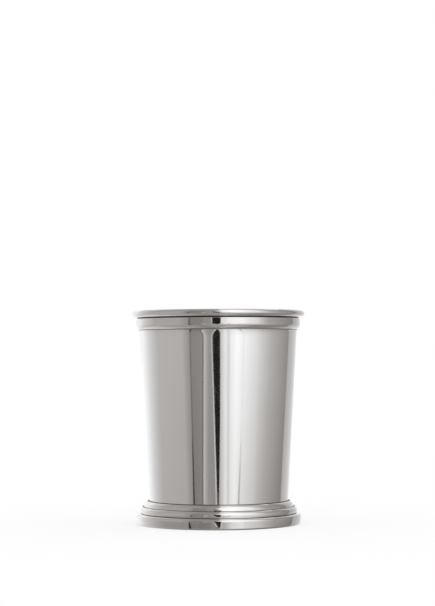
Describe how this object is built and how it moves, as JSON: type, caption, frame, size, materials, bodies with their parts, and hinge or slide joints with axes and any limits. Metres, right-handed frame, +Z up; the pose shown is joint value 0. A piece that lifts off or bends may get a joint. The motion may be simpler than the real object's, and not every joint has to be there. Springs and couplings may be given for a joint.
{
  "type": "julep cup",
  "caption": "Tapered drinking cup of polished silver plate, with a round bead and flat collar at the lip and a stepped moulded foot to stand on.",
  "frame": {"origin": "centre of the circle that the cup stands on, at table level", "axes": "+Z up along the cup's axis, towards the mouth; the cup is the same all round, and -Y is the side that the picture shows"},
  "size_m": [0.0882, 0.0882, 0.108],
  "materials": {
    "sheet_silver": "mirror-polished silver plate",
    "moulding_silver": "bright-polished silver plate, darker in the grooves"
  },
  "bodies": {
    "root": {"cup_wall": "sheet_silver", "cup_floor": "sheet_silver", "rim_bead": "moulding_silver", "rim_collar": "moulding_silver", "foot_upper_ring": "moulding_silver", "foot_middle_ring": "moulding_silver", "foot_plinth": "moulding_silver"}
  },
  "joints": []
}
